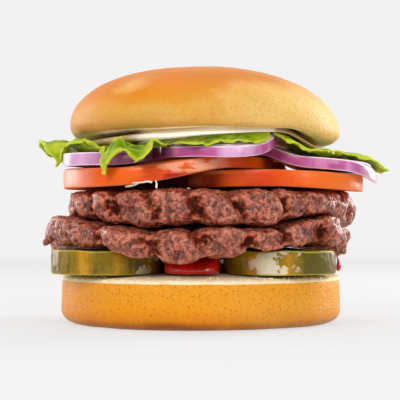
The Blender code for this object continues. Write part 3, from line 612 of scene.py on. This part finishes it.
def beef_finish():
    """Seared mince: brown granules with pink and grey ones among them, wet fat, and painted light and shade:
    lighter tips, pale pink glints and near-black crevices.
    """
    finish = Finish("seared_mince")
    depth = finish.field("depth")
    tone = finish.axes(finish.cells(1500, output="Color"))[0]
    # Painted light: the raised tips are lifted up the ramp, on top of the random tone of the cells and the
    # noise.
    tone = finish.math("MULTIPLY_ADD", tone, 0.28, finish.math("MULTIPLY", finish.field("tip"), 0.5))
    tone = finish.math("MULTIPLY_ADD", finish.remap(finish.noise(330, 3), 0.36, 0.64), 0.22, tone)
    brown = finish.ramp(
        tone,
        (0.16, (0.060, 0.012, 0.006)),
        (0.38, (0.175, 0.033, 0.015)),
        (0.60, (0.300, 0.060, 0.028)),
        (0.84, (0.580, 0.172, 0.090)),
    )
    pink = finish.remap(finish.noise(120, 3), 0.56, 0.70)
    brown = finish.mix(finish.math("MULTIPLY", pink, 0.65), brown, (0.36, 0.055, 0.042), "OVERLAY")
    orange = finish.remap(finish.noise(55, 2), 0.50, 0.70)
    brown = finish.mix(finish.math("MULTIPLY", orange, 0.3), brown, (0.30, 0.090, 0.035))
    # Painted highlight: pale pink speckles on the raised granules stand for glints.
    grains = finish.remap(finish.noise(1500, 2), 0.56, 0.68)
    grains = finish.product(grains, finish.remap(depth, 0.4, 0.8), 0.5)
    brown = finish.mix(grains, brown, (0.66, 0.34, 0.26))
    # Painted shade: the crevices are darkened to near-black.
    crevice = finish.remap(depth, 0.06, 0.46, 1.0, 0.0)
    finish.set(Base_Color=finish.mix(finish.math("MULTIPLY", crevice, 0.68), brown, (0.030, 0.006, 0.004)))
    finish.set(Roughness=finish.ramp(finish.noise(600, 3), (0.35, (0.24,) * 3), (0.65, (0.6,) * 3)))
    # The fat's gloss is real on the raised parts and fades out in the crevices as painted shade on its
    # reflections.
    wet = finish.remap(depth, 0.35, 0.8)
    finish.set(Specular_IOR_Level=finish.product(wet, 0.4), Coat_Weight=finish.product(wet, 0.25))
    finish.set(Coat_Roughness=0.16)
    finish.set(Subsurface_Weight=0.06, Subsurface_Scale=1 * MM, Subsurface_Radius=(1.0, 0.3, 0.2))
    finish.bump(finish.noise(1500, 4, 0.65), 0.25 * MM, 0.9)
    return finish.material


def tomato_finish():
    """Ripe tomato: glossy skin round the rim, and on the cut faces flesh walls round seed chambers."""
    finish = Finish("ripe_tomato")
    radius, turn = finish.across_slice()
    wobble = finish.product(finish.noise(60, 2), 5.0)
    spokes = finish.math("COSINE", finish.math("MULTIPLY_ADD", turn, 5.0, wobble))
    chamber = finish.product(finish.remap(spokes, -0.2, 0.5), finish.remap(radius, 0.24, 0.36))
    chamber = finish.product(chamber, finish.remap(radius, 0.86, 0.78))
    flesh = finish.ramp(finish.noise(220, 4), (0.3, (0.74, 0.115, 0.035)), (0.7, (0.86, 0.235, 0.085)))
    jelly = finish.ramp(finish.noise(300, 3), (0.3, (0.62, 0.10, 0.015)), (0.7, (0.80, 0.28, 0.03)))
    seeds = finish.remap(finish.cells(300), 0.22, 0.14)
    jelly = finish.mix(finish.math("MULTIPLY", seeds, 0.8), jelly, (0.85, 0.62, 0.25))
    face = finish.mix(chamber, flesh, jelly)
    skin = finish.ramp(finish.noise(38, 3), (0.34, (0.70, 0.052, 0.0)), (0.64, (0.90, 0.135, 0.0)))
    streaks = finish.noise(1.0, 3, vector=finish.stretched((130.0, 130.0, 900.0)))
    skin = finish.mix(finish.remap(streaks, 0.5, 0.72, 0.0, 0.35), skin, (0.86, 0.20, 0.012))
    x, y, z = finish.axes()[:3]
    # Painted rim light: the left end of the slices is paled to a pinkish orange.
    salmon = finish.remap(x, -35 * MM, -46 * MM, 0.0, 0.95)
    skin = finish.mix(salmon, skin, (0.90, 0.33, 0.20))
    skin = finish.mix(finish.remap(x, 34 * MM, 52 * MM, 0.0, 0.8), skin, (0.87, 0.19, 0.015))
    front = finish.remap(y, -26 * MM, -34 * MM)
    shade = finish.product(finish.remap(x, 17 * MM, -2 * MM), finish.remap(z, 55.5 * MM, 54 * MM), front)
    shade = finish.product(shade, finish.remap(x, -14 * MM, -11 * MM), 0.9)
    skin = finish.mix(shade, skin, (0.42, 0.001, 0.002))
    # Painted highlight: pale patches on the front of the left slice stand for a wet gloss.
    paler = finish.product(finish.remap(x, -19 * MM, -10 * MM), finish.remap(x, 12 * MM, 4 * MM), front)
    paler = finish.product(paler, finish.remap(z, 54.2 * MM, 55.8 * MM))
    patches = finish.noise(1.0, 4, 0.6, vector=finish.stretched((150.0, 150.0, 420.0)))
    paler = finish.product(paler, finish.remap(patches, 0.40, 0.52), 0.8)
    skin = finish.mix(paler, skin, (0.87, 0.42, 0.25))
    side = finish.remap(finish.field("side"), 0.35, 0.7)
    finish.set(Base_Color=finish.mix(side, face, skin))
    finish.set(Roughness=finish.mix(side, (0.9,) * 3, (0.36,) * 3))
    finish.set(Specular_IOR_Level=finish.product(side, 0.25), Coat_Weight=finish.product(side, 0.1))
    finish.set(Coat_Roughness=0.12)
    finish.set(Subsurface_Weight=0.2, Subsurface_Scale=2.5 * MM, Subsurface_Radius=(1.0, 0.25, 0.1))
    finish.bump(finish.noise(170, 3), 0.35 * MM, 0.5)
    finish.bump(finish.noise(900, 2), 0.06 * MM, 0.4)
    return finish.material


def onion_finish():
    """Red onion: magenta outer skin, paled at its left end and with pale purple patches as painted light, and
    rings of white flesh lined with purple.
    """
    finish = Finish("red_onion")
    radius, _ = finish.across_slice()
    wobbled = finish.math("MULTIPLY_ADD", finish.noise(70, 2), 0.06, radius)
    ring = finish.math("PINGPONG", finish.product(wobbled, 6.4), 0.5)
    flesh = finish.ramp(finish.noise(300, 3), (0.3, (0.80, 0.62, 0.76)), (0.7, (0.93, 0.85, 0.90)))
    face = finish.mix(finish.remap(ring, 0.09, 0.02), flesh, (0.42, 0.09, 0.30))
    streaks = finish.noise(1.0, 2, vector=finish.stretched((110.0, 110.0, 25.0)))
    skin = finish.ramp(
        streaks,
        (0.34, (0.40, 0.050, 0.22)),
        (0.52, (0.53, 0.095, 0.32)),
        (0.70, (0.74, 0.38, 0.62)),
    )
    x, y, _ = finish.axes()[:3]
    # Painted rim light: the left end of the skin is paled.
    pale = finish.remap(x, -28 * MM, -44 * MM, 0.0, 0.7)
    skin = finish.mix(pale, skin, (0.72, 0.46, 0.68))
    # Painted highlight: pale purple patches on the front of the centre slice.
    lilac = finish.product(finish.remap(x, 5 * MM, 9 * MM), finish.remap(x, 23 * MM, 18 * MM))
    lilac = finish.product(lilac, finish.remap(streaks, 0.42, 0.52), 0.5, finish.remap(y, -36 * MM, -40 * MM))
    skin = finish.mix(lilac, skin, (0.76, 0.48, 0.74))
    far = finish.remap(x, 54 * MM, 61 * MM, 0.0, 0.85)
    skin = finish.mix(far, skin, (0.62, 0.30, 0.42))
    side = finish.remap(finish.field("side"), 0.55, 0.93)
    finish.set(Base_Color=finish.mix(side, face, skin))
    finish.set(Roughness=0.32, Coat_Roughness=0.1)
    finish.set(Specular_IOR_Level=finish.product(side, 0.45), Coat_Weight=finish.product(side, 0.3))
    finish.set(Subsurface_Weight=0.4, Subsurface_Scale=2.5 * MM, Subsurface_Radius=(1.0, 0.6, 0.8))
    finish.bump(finish.noise(1.0, 3, vector=finish.stretched((420.0, 420.0, 60.0))), 0.08 * MM, 0.5)
    finish.bump(finish.noise(800, 3), 0.06 * MM, 0.4)
    return finish.material


def lettuce_finish():
    """Leaf lettuce: bright green blades, paler along the veins and margin, deep green in patches."""
    finish = Finish("leaf_lettuce")
    margin = finish.field("edge")
    blade = finish.ramp(
        finish.noise(140, 4),
        (0.30, (0.028, 0.085, 0.001)),
        (0.46, (0.185, 0.290, 0.001)),
        (0.60, (0.360, 0.440, 0.001)),
        (0.78, (0.540, 0.560, 0.002)),
    )
    veins = finish.remap(finish.cells(190, "DISTANCE_TO_EDGE"), 0.02, 0.12, 1.0, 0.0)
    blade = finish.mix(finish.math("MULTIPLY", veins, 0.3), blade, (0.52, 0.62, 0.10))
    rim = finish.remap(margin, 0.25, 0.0, 0.0, 0.8)
    finish.set(Base_Color=finish.mix(rim, blade, (0.56, 0.64, 0.05)))
    finish.set(Roughness=0.5, Specular_IOR_Level=0.06, Coat_Weight=0.03, Coat_Roughness=0.15)
    finish.set(Subsurface_Weight=0.55, Subsurface_Scale=1.6 * MM, Subsurface_Radius=(0.8, 1.0, 0.15))
    finish.bump(finish.cells(330, "SMOOTH_F1"), 0.5 * MM, 0.6)
    finish.bump(finish.noise(1200, 3), 0.08 * MM, 0.4)
    return finish.material


def pickle_finish():
    """Dill pickle: amber to dark green skin in upright stripes, and paler wet flesh with seeds."""
    finish = Finish("dill_pickle")
    radius, _ = finish.across_slice()
    stripes = finish.noise(1.0, 3, vector=finish.stretched((125.0, 125.0, 14.0)))
    stripes = finish.shaken(stripes, finish.noise(330, 4), 0.3)
    skin = finish.ramp(
        stripes,
        (0.30, (0.060, 0.060, 0.002)),
        (0.43, (0.240, 0.150, 0.002)),
        (0.55, (0.330, 0.185, 0.003)),
        (0.63, (0.560, 0.250, 0.004)),
        (0.75, (0.400, 0.310, 0.060)),
    )
    x = finish.axes()[0]
    skin = finish.mix(finish.remap(x, 31 * MM, 37 * MM, 0.0, 0.8), skin, (0.075, 0.070, 0.002))
    # Painted highlight: pale patches on the front of the two front slices stand for wet glints.
    left = finish.product(finish.remap(x, -26 * MM, -22 * MM), finish.remap(x, -14 * MM, -17 * MM))
    right = finish.product(finish.remap(x, 14 * MM, 19 * MM), finish.remap(x, 37 * MM, 31 * MM))
    patches = finish.remap(finish.noise(150, 5, 0.6), 0.51, 0.55)
    wet = finish.product(finish.math("ADD", left, right), patches, 0.75)
    skin = finish.mix(wet, skin, (0.82, 0.74, 0.56))
    flesh = finish.ramp(finish.noise(260, 4), (0.3, (0.34, 0.27, 0.02)), (0.7, (0.52, 0.42, 0.07)))
    seeds = finish.product(finish.remap(finish.cells(330), 0.24, 0.14), finish.remap(radius, 0.62, 0.5), 0.8)
    flesh = finish.mix(seeds, flesh, (0.70, 0.64, 0.30))
    side = finish.remap(finish.field("side"), 0.4, 0.75)
    finish.set(Base_Color=finish.mix(side, flesh, skin))
    finish.set(Roughness=0.45, Specular_IOR_Level=0.15, Coat_Weight=0.25, Coat_Roughness=0.08)
    finish.set(Subsurface_Weight=0.25, Subsurface_Scale=2.5 * MM, Subsurface_Radius=(1.0, 0.7, 0.1))
    finish.bump(stripes, 0.5 * MM, 0.5)
    finish.bump(finish.noise(95, 4, 0.6), 2.6 * MM, 0.9)
    finish.bump(finish.noise(420, 3), 0.2 * MM, 0.5)
    return finish.material


def ketchup_finish():
    """Smooth ketchup, deep red to brighter red in soft patches."""
    finish = Finish("ketchup")
    red = finish.ramp(finish.noise(150, 3), (0.3, (0.46, 0.001, 0.001)), (0.7, (0.72, 0.008, 0.004)))
    finish.set(Base_Color=red)
    finish.set(Roughness=0.16, Specular_IOR_Level=0.6, Coat_Weight=0.7, Coat_Roughness=0.04)
    finish.set(Subsurface_Weight=0.2, Subsurface_Scale=1 * MM, Subsurface_Radius=(1.0, 0.1, 0.05))
    finish.bump(finish.noise(240, 3), 0.25 * MM, 0.5)
    return finish.material


def mayonnaise_finish():
    """Glossy white-cream mayonnaise, glowing faintly as painted light, and darkened to tan and matt at the
    front left and right of the lip as painted shade.
    """
    finish = Finish("mayonnaise")
    cream = finish.ramp(finish.noise(120, 3), (0.3, (0.86, 0.78, 0.62)), (0.7, (0.95, 0.91, 0.82)))
    x, y, _ = finish.axes()[:3]
    # Painted shade: at the front, left and right of the lip, the cream is darkened to tan and made matt, as
    # under the crown's overhang.
    uneven = finish.math("MULTIPLY_ADD", finish.noise(90, 3), 12 * MM, x)
    left, right = finish.remap(uneven, -13 * MM, -21 * MM), finish.remap(uneven, 30 * MM, 38 * MM)
    thin = finish.product(finish.math("MAXIMUM", left, right), finish.remap(y, 14 * MM, 0.0, 0.0, 0.85))
    finish.set(Base_Color=finish.mix(thin, cream, (0.50, 0.30, 0.10)))
    finish.set(Roughness=finish.remap(thin, 0.0, 0.6, 0.3, 0.8), Coat_Roughness=0.1)
    finish.set(Specular_IOR_Level=finish.remap(thin, 0.0, 0.6, 0.4, 0.02))
    finish.set(Coat_Weight=finish.remap(thin, 0.0, 0.6, 0.25, 0.0))
    finish.set(Subsurface_Weight=0.4, Subsurface_Scale=2 * MM, Subsurface_Radius=(1.0, 0.85, 0.6))
    # Painted light: the cream glows faintly, keeping it bright in the crown's shade.
    finish.set(Emission_Color=(1.0, 0.92, 0.82, 1.0))
    finish.set(Emission_Strength=finish.remap(thin, 0.0, 0.5, 0.2, 0.0))
    finish.bump(finish.noise(260, 3), 0.3 * MM, 0.5)
    return finish.material


# The pieces

RELIEF = relief_tree()
CRUMPLE = crumple_tree()
MINCE = mince_tree()
CRUMBS = crumb_tree()


def slice_fields(piece, node):
    """Stores where each point lies across a round slice, how upright the skin is there, and its room."""
    low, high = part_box(node)
    centre = (low + high) / 2
    radius = max(high.x - low.x, high.y - low.y) / 2
    points, directions = positions(piece.data), normals(piece.data)
    across = (points - np.array(centre)) / radius
    store_vector(piece.data, "slice", across)
    upright = 1 - np.abs(directions[:, 2])
    store(piece.data, "side", upright)
    store(piece.data, "room", 0.35 + 0.65 * smooth_step(0.3, 0.8, upright))


def make_slices(looks):
    relief = {"Swell Scale": 60.0, "Grain Scale": 260.0, "Pit Scale": 100.0, "Pit Depth": 0.0}
    for slot, nodes, swell, grain in SLICES:
        relief.update({"Swell Height": swell, "Grain Height": grain, "Material": looks[slot]})
        for seed, node in enumerate(nodes):
            piece = subdivide(welded_copy(node, node + "_slice", 38, 0.75), 3)
            slice_fields(piece, node)
            run_tree(piece, RELIEF, {**relief, "Seed": float(seed)})
            serve(piece, slot, node)


def make_bun(node, name, relief, cut_sign, cut_facing, strip=None):
    """A bun half: soft dents and wrinkles on its crust, and rough crumb where the field "crumb" is 1."""
    piece = subdivide(welded_copy(node, name, 50, 0.4), 3)
    points, directions = positions(piece.data), normals(piece.data)
    away = np.hypot(points[:, 0], points[:, 1])
    facing = cut_sign * directions[:, 2]
    rim = np.maximum(facing, smooth_step(*strip, points[:, 2])) if strip else facing
    store(piece.data, "crumb", smooth_step(*cut_facing, rim))
    store(piece.data, "room", np.where(facing > 0.6, 0.3, 1.0) * smooth_step(0.0, 1 * MM, points[:, 2]))
    store(piece.data, "shown", smooth_step(*CRUMB_RIM, away) * (facing > 0.5))
    return run_tree(piece, RELIEF, relief)


def make_buns():
    crown_bands = (
        (0.0, (0.66, 0.33, 0.075)),
        (0.30, (0.70, 0.36, 0.060)),
        (0.62, (0.70, 0.26, 0.010)),
        (0.85, (0.62, 0.175, 0.001)),
        (1.0, (0.66, 0.21, 0.002)),
    )
    heel_bands = (
        (0.0, (0.30, 0.075, 0.008)),
        (0.10, (0.72, 0.235, 0.008)),
        (0.45, (0.84, 0.32, 0.010)),
        (1.0, (0.84, 0.35, 0.022)),
    )
    # The cream share is the strength of the painted light that pales each bun's right side, and the sheen
    # share that of the painted sheen patches.
    crown_look = crust_finish(
        "baked_crown",
        (66 * MM, 97 * MM),
        crown_bands,
        cream=0.95,
        blotch=0.42,
        freckles=0.10,
        mottling=0.6,
        browning=0.45,
    )
    heel_look = crust_finish(
        "baked_heel",
        (0.0, 17 * MM),
        heel_bands,
        cream=0.15,
        blotch=0.20,
        freckles=0.7,
        mottling=0.0,
        browning=0.0,
    )
    sizes = {"Swell Scale": 44.0, "Swell Height": 1.2 * MM, "Grain Scale": 170.0, "Grain Height": 0.25 * MM}
    sizes.update({"Pit Scale": 200.0, "Pit Depth": 0.06 * MM})
    relief = {**sizes, "Seed": 2.0, "Material": crown_look}
    crown = make_bun("bun_crown", "crown_bread", relief, -1, (0.93, 0.99))
    serve(crown, "bread", "bun_crown")
    relief = {**sizes, "Seed": 5.0, "Material": heel_look}
    heel = make_bun("bun_heel", "heel_bread", relief, 1, (0.15, 0.75), (15.4 * MM, 17.2 * MM))
    crumbs = new_object("heel_crumbs", heel.data.copy())
    serve(heel, "bread", "bun_heel")
    values = {"Crumb Size": 0.45 * MM, "Density": 180000.0, "Seed": 4, "Material": heel_look}
    serve(run_tree(crumbs, CRUMBS, values), "bread")


def make_patty(node, finish, seed):
    """A patty of fused granules, densest round the rim where the mince shows."""
    low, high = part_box(node)
    centre = (low + high) / 2
    piece = subdivide(welded_copy(node, node + "_mince"), 2)
    points, directions = positions(piece.data), normals(piece.data)
    away = np.hypot(points[:, 0] - centre.x, points[:, 1] - centre.y)
    rim = smooth_step(*PATTY_RIM, away)
    upright = 1 - np.abs(directions[:, 2])
    store(piece.data, "room", np.clip(0.4 + 1.6 * upright, 0, 1) * rim)
    store(piece.data, "shown", 0.06 + 0.94 * rim)
    skin = surface_of(piece.data)
    values = {"Granule Size": 0.58 * MM, "Inset": 0.25 * MM, "Lobe Scale": 66.0, "Lobe Depth": 3.6 * MM}
    values.update({"Lump Scale": 215.0, "Lump Height": 2.9 * MM, "Swell": 1.2 * MM})
    values.update({"Rim Radius": 50.0 * MM, "Density": 1000000.0, "Seed": seed, "Material": finish})
    run_tree(piece, MINCE, values)
    fuse = piece.modifiers.new("Fuse", "REMESH")
    fuse.mode = "VOXEL"
    fuse.voxel_size = FUSE_VOXEL
    settle(piece)
    thin = piece.modifiers.new("Thin", "DECIMATE")
    thin.ratio = KEPT_SHARE
    settle(piece)
    smooth = piece.modifiers.new("Settle", "SMOOTH")
    smooth.factor = 0.2
    smooth.iterations = 1
    settle(piece)
    points = positions(piece.data)
    sunk = []
    for point in points:
        near, normal, _, _ = skin.find_nearest(Vector(point))
        sunk.append((Vector(point) - near).dot(normal))
    store(piece.data, "depth", smooth_step(*CREVICE_TO_SKIN, np.array(sunk)))
    store(piece.data, "tip", smooth_step(*HOLLOW_TO_TIP, swollen(piece.data, SMOOTH_ROUNDS)))
    piece.data.materials.clear()
    piece.data.materials.append(finish)
    return serve(piece, "beef", node)


def leaf_fields(piece):
    """Stores how near each point is to the leaf's margin, and how far it is free of the stack."""
    points, directions = positions(piece.data), normals(piece.data)
    flat = np.zeros(len(points), bool)
    skin = surface_of(piece.data)
    for i, (point, direction) in enumerate(zip(points, directions)):
        start = Vector(point) - Vector(direction) * RAY_START
        hit = skin.ray_cast(start, -Vector(direction), RAY_REACH)
        flat[i] = hit[0] is not None and (hit[0] - start).length < LEAF_THICKNESS
    tree = KDTree(len(points))
    for i in np.flatnonzero(~flat):
        tree.insert(Vector(points[i]), int(i))
    tree.balance()
    margin = np.array([tree.find(Vector(point))[2] or 0.0 for point in points])
    edge = np.clip(margin / LEAF_MARGIN, 0, 1)
    free = smooth_step(*LEAF_FREE, np.hypot(points[:, 0], points[:, 1]))
    store(piece.data, "edge", edge)
    store(piece.data, "room", 0.25 + 0.75 * free)
    store(piece.data, "frill", free * (1 - edge) ** 1.5)


def make_leaves(finish):
    sizes = {"Blister Scale": 170.0, "Blister Height": 2.2 * MM}
    sizes.update({"Frill Scale": 230.0, "Frill Height": 5.0 * MM})
    for seed, node in enumerate(LEAVES):
        piece = subdivide(welded_copy(node, node + "_blade", 60, 0.5), 3)
        leaf_fields(piece)
        run_tree(piece, CRUMPLE, {**sizes, "Seed": seed + 0.5, "Material": finish})
        serve(piece, "lettuce", node)


def make_sauces(looks):
    sizes = {"Swell Scale": 120.0, "Swell Height": 1.0 * MM, "Grain Scale": 400.0, "Grain Height": 0.2 * MM}
    sizes.update({"Pit Scale": 100.0, "Pit Depth": 0.0})
    for node in ("ketchup", "mayonnaise"):
        piece = subdivide(welded_copy(node, node + "_sauce"), 2)
        upright = 1 - np.abs(normals(piece.data)[:, 2])
        store(piece.data, "room", smooth_step(0.3, 0.8, upright))
        run_tree(piece, RELIEF, {**sizes, "Seed": 9.0, "Material": looks[node]})
        serve(piece, node, node)


def trickle(name, path, radii, finish, slot):
    """A rounded strand or drop swept along a path of points, each with its own radius."""
    shape = bmesh.new()
    rings = []
    path = [Vector(point) for point in path]
    for i, (point, radius) in enumerate(zip(path, radii)):
        along = (path[min(i + 1, len(path) - 1)] - path[max(i - 1, 0)]).normalized()
        across = along.cross(Vector((0.31, 0.95, 0.05))).normalized()
        up = along.cross(across)
        turns = [2 * math.pi * k / TRICKLE_SIDES for k in range(TRICKLE_SIDES)]
        ring = [point + radius * (math.cos(turn) * across + math.sin(turn) * up) for turn in turns]
        rings.append([shape.verts.new(place) for place in ring])
    for low, high in zip(rings, rings[1:]):
        for k in range(TRICKLE_SIDES):
            shape.faces.new((low[k], low[k - 1], high[k - 1], high[k]))
    shape.faces.new(rings[0])
    shape.faces.new(rings[-1][::-1])
    bmesh.ops.recalc_face_normals(shape, faces=shape.faces)
    mesh = bpy.data.meshes.new(name)
    shape.to_mesh(mesh)
    shape.free()
    mesh.materials.append(finish)
    store(mesh, "depth", np.full(len(mesh.vertices), 0.75))
    store(mesh, "tip", np.full(len(mesh.vertices), 0.55))
    store(mesh, "side", np.ones(len(mesh.vertices)))
    return serve(subdivide(new_object(name, mesh), 2), slot)


def make_drips(patty, looks):
    """Mayonnaise run out under the left tomato, and the scraps that cling to the stack."""
    top = surface_of(patty.data)
    for number, places in enumerate(DRIPS):
        path, radii = [], []
        for i, (x, z) in enumerate(places):
            y = DRIP_FRONT + 0.5 * math.sin(2.3 * i + number)
            hit = top.ray_cast(Vector((x, y, ABOVE_PATTY)) * MM, Vector((0, 0, -1)))[0]
            path.append((x * MM, y * MM, max(z * MM, hit.z if hit else 0.0)))
            radii.append((0.34 + 0.16 * math.sin(1.9 * i + 1.3 * number)) * MM)
        trickle(f"mayonnaise_drip_{number + 1}", path, radii, looks["mayonnaise"], "mayonnaise")
    for name, slot, places, radii in SCRAPS:
        path = [Vector(place) * MM for place in places]
        trickle(name, path, [radius * MM for radius in radii], looks[slot], slot)


def make_studio():
    """A plain pale floor that sweeps up behind, soft light all round, and the camera low in front."""
    points, faces = [], []
    for i in range(SWEEP_ROWS + 1):
        turn = math.pi / 2 * i / SWEEP_ROWS
        points.append((SWEEP_BACK + SWEEP_CURVE * math.sin(turn), SWEEP_CURVE - SWEEP_CURVE * math.cos(turn)))
    points = [(SWEEP_FRONT, 0.0), *points, (SWEEP_BACK + SWEEP_CURVE, SWEEP_TOP)]
    points = [(side, y, z) for y, z in points for side in (-SWEEP_SIDE, SWEEP_SIDE)]
    for i in range(0, len(points) - 2, 2):
        faces.append((i, i + 1, i + 3, i + 2))
    mesh = bpy.data.meshes.new("studio_sweep")
    mesh.from_pydata(points, [], faces)
    mesh.shade_smooth()
    sweep = new_object("studio_sweep", mesh)
    finish = Finish("studio_paper")
    finish.set(Base_Color=(0.22, 0.22, 0.22, 1.0), Roughness=0.9, Specular_IOR_Level=0.0)
    glow = finish.remap(finish.axes()[1], *GLOW_REACH, *PAPER_GLOW)
    finish.set(Emission_Color=(1.0, 1.0, 1.0, 1.0), Emission_Strength=glow)
    mesh.materials.append(finish.material)

    world = bpy.data.worlds.new("studio_light")
    world.use_nodes = True
    background = world.node_tree.nodes["Background"].inputs
    background["Color"].default_value = (1.0, 0.99, 0.98, 1.0)
    background["Strength"].default_value = AMBIENT_LIGHT
    bpy.context.scene.world = world
    for name, place, size, power in LAMPS:
        light = bpy.data.lights.new(name, "AREA")
        light.shape = "RECTANGLE"
        light.size, light.size_y = size
        light.energy = power
        lamp = new_object(name, light)
        lamp.location = place
        lamp.rotation_euler = (Vector(LAMP_TARGET) - Vector(place)).to_track_quat("-Z", "Y").to_euler()

    lens = bpy.data.cameras.new("front_view")
    lens.lens = CAMERA_LENS_MM
    lens.sensor_width = 36.0
    lens.clip_start = 0.01
    camera = new_object("front_view", lens)
    camera.location = CAMERA_PLACE
    camera.rotation_euler = (math.radians(CAMERA_TILT_DEG), 0.0, 0.0)
    bpy.context.scene.camera = camera
    bpy.context.scene.view_settings.view_transform = "Standard"


def make_burger():
    """Every piece, from the buns to the last scraps."""
    looks = {
        "beef": beef_finish(),
        "tomato": tomato_finish(),
        "onion": onion_finish(),
        "pickle": pickle_finish(),
        "ketchup": ketchup_finish(),
        "mayonnaise": mayonnaise_finish(),
    }
    make_buns()
    patties = [make_patty(patty, looks["beef"], 3 + number) for number, patty in enumerate(PATTIES)]
    make_slices(looks)
    make_leaves(lettuce_finish())
    make_sauces(looks)
    make_drips(patties[-1], looks)


make_studio()
make_burger()
